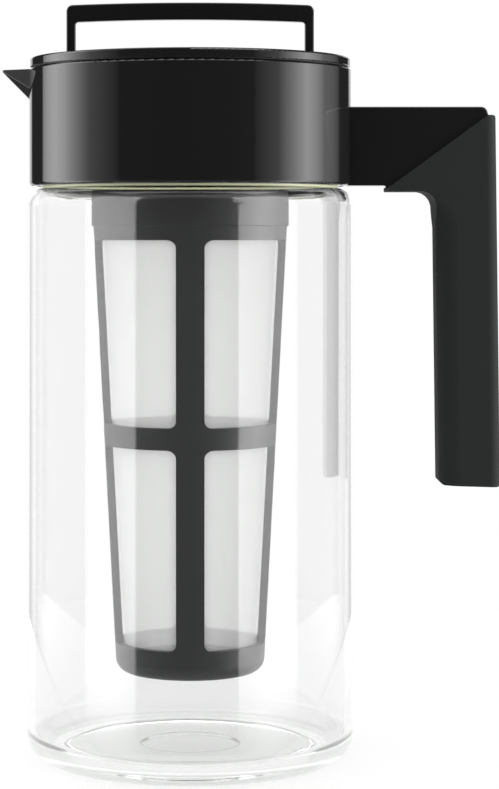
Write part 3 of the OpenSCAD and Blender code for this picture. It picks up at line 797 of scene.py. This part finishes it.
    def side_box(self, name, side, levels, tall, radiance, upward=None):
        """A tall softbox whose levels are given at azimuths from the camera's side"""
        start, end = levels[0][0], levels[-1][0]
        middle = math.radians((start + end) / 2)
        span = 2 * math.tan(math.radians((end - start) / 2))
        centre = Vector(self.BOX_CENTRE)
        away = Vector((side * math.sin(middle), -math.cos(middle), 0))
        holder = self.softbox(name, centre + away * self.BOX_DISTANCE, centre,
                              self.BOX_DISTANCE * span, tall, radiance)
        holder.data.use_nodes = True
        tree = holder.data.node_tree
        light = next(node for node in tree.nodes if node.type == "EMISSION")
        split = tree.nodes.new("ShaderNodeSeparateXYZ")
        tree.links.new(tree.nodes.new("ShaderNodeNewGeometry").outputs["Parametric"],
                       split.inputs[0])
        across = [(0.5 + math.tan(math.radians(at) - middle) / span, level)
                  for at, level in levels]
        if side < 0:
            across = [(1 - at, level) for at, level in reversed(across)]
        tree.links.new(self.grade(tree, split.outputs["X"], across), light.inputs["Color"])
        if upward:
            # only what the near wall mirrors, so that the far wall adds nothing
            depth = tree.nodes.new("ShaderNodeLightPath").outputs["Transmission Depth"]
            near = maths(tree, "LESS_THAN", depth, NEAR_WALL)
            height = self.grade(tree, split.outputs["Y"], upward)
            tree.links.new(maths(tree, "MULTIPLY", height, near), light.inputs["Strength"])
        return holder

    def receivers(self, name, objects, state):
        """A collection that a lamp's light linking takes in or leaves out"""
        group = bpy.data.collections.new(name)
        for at, label in enumerate(objects):
            group.objects.link(bpy.data.objects[NODES[label].name if label in NODES else label])
            group.collection_objects[at].light_linking.link_state = state
        return group

    def make_panels(self, stage):
        """Softboxes, each for the parts that the photograph shows it on"""
        jar_only = self.receivers("jar_only", ["jar"], "INCLUDE")
        not_jar = self.receivers("not_jar", ["jar", "floor", "filter_mesh"], "EXCLUDE")
        not_floor = self.receivers("not_floor", ["floor"], "EXCLUDE")
        mesh_only = self.receivers("mesh_only", ["filter_mesh"], "INCLUDE")
        no_handle = self.receivers("no_handle", ["collar", "grip"], "EXCLUDE")
        # the two panels that collar, lid and handle mirror, which the handle doesn't block
        panel = self.side_box("panel_left", -1, self.LEFT_PANEL, self.PANEL_TALL,
                              stage.left_light)
        panel.light_linking.receiver_collection = not_jar
        panel = self.side_box("panel_right", 1, self.RIGHT_PANEL, self.PANEL_TALL,
                              stage.right_light)
        panel.light_linking.receiver_collection = not_jar
        panel.light_linking.blocker_collection = no_handle
        top = self.softbox("panel_top", *self.TOP_BOX, stage.top_light)
        top.light_linking.receiver_collection = not_floor
        front = self.softbox("panel_front", *self.FRONT_BOX, stage.mesh_light)
        front.light_linking.receiver_collection = mesh_only
        # the jar's own, which lie like pale veils over the filter's sides and on its flanks
        veil, edge = stage.veil_light, stage.edge_light
        for name, side, levels, radiance, upward in (
                ("veil_left", -1, self.LEFT_VEIL, veil, self.VEIL_RISE),
                ("veil_right", 1, self.RIGHT_VEIL, veil, self.VEIL_RISE),
                ("edge_left", -1, self.LEFT_EDGE, edge, self.EDGE_RISE),
                ("edge_right", 1, self.RIGHT_EDGE, edge, self.EDGE_RISE)):
            panel = self.side_box(name, side, levels, self.VEIL_TALL, radiance, upward)
            panel.light_linking.receiver_collection = jar_only

    def make_camera(self, context, stage):
        """A level camera, shifted as the photograph's horizon and axis ask"""
        data = bpy.data.cameras.new("camera")
        data.lens = stage.lens
        data.sensor_width = SENSOR_MM
        data.shift_x = (PHOTO_W / 2 - stage.axis_px) / PHOTO_H
        data.shift_y = -(PHOTO_H / 2 - stage.horizon_px) / PHOTO_H
        camera = bpy.data.objects.new("camera", data)
        context.scene.collection.objects.link(camera)
        camera.location = (0, -stage.camera_back, stage.camera_up)
        camera.rotation_euler = (math.pi / 2, 0, 0)
        context.scene.camera = camera


class TEAMAKER_PT_panel(bpy.types.Panel):
    """Lists the pieces and the settings"""

    bl_label = "Tea maker"
    bl_idname = "TEAMAKER_PT_panel"
    bl_space_type = "VIEW_3D"
    bl_region_type = "UI"
    bl_category = "Tea maker"

    def draw(self, context):
        for group in ("tea_sizes", "tea_colours", "tea_stage"):
            box = self.layout.box()
            settings = getattr(context.scene, group)
            for name in settings.__annotations__:
                box.prop(settings, name)
        for maker in MAKERS:
            self.layout.operator(maker.bl_idname)


SETTINGS = (
    ("tea_sizes", TeaMakerSizes),
    ("tea_colours", TeaMakerColours),
    ("tea_stage", TeaMakerStage),
)
MAKERS = (
    TEAMAKER_OT_stage,
    TEAMAKER_OT_finishes,
    TEAMAKER_OT_jar,
    TEAMAKER_OT_collar,
    TEAMAKER_OT_grip,
    TEAMAKER_OT_lid,
    TEAMAKER_OT_bail,
    TEAMAKER_OT_filter,
)


def register():
    """Adds the settings, the makers and the panel"""
    for name, group in SETTINGS:
        bpy.utils.register_class(group)
        setattr(bpy.types.Scene, name, bpy.props.PointerProperty(type=group))
    for maker in (*MAKERS, TEAMAKER_PT_panel):
        bpy.utils.register_class(maker)


def unregister():
    """Takes them out again, last first"""
    for maker in reversed((*MAKERS, TEAMAKER_PT_panel)):
        bpy.utils.unregister_class(maker)
    for name, group in reversed(SETTINGS):
        delattr(bpy.types.Scene, name)
        bpy.utils.unregister_class(group)


def main():
    """Makes everything"""
    register()
    for maker in MAKERS:
        group, name = maker.bl_idname.split(".")
        getattr(getattr(bpy.ops, group), name)()


if __name__ == "__main__":
    main()
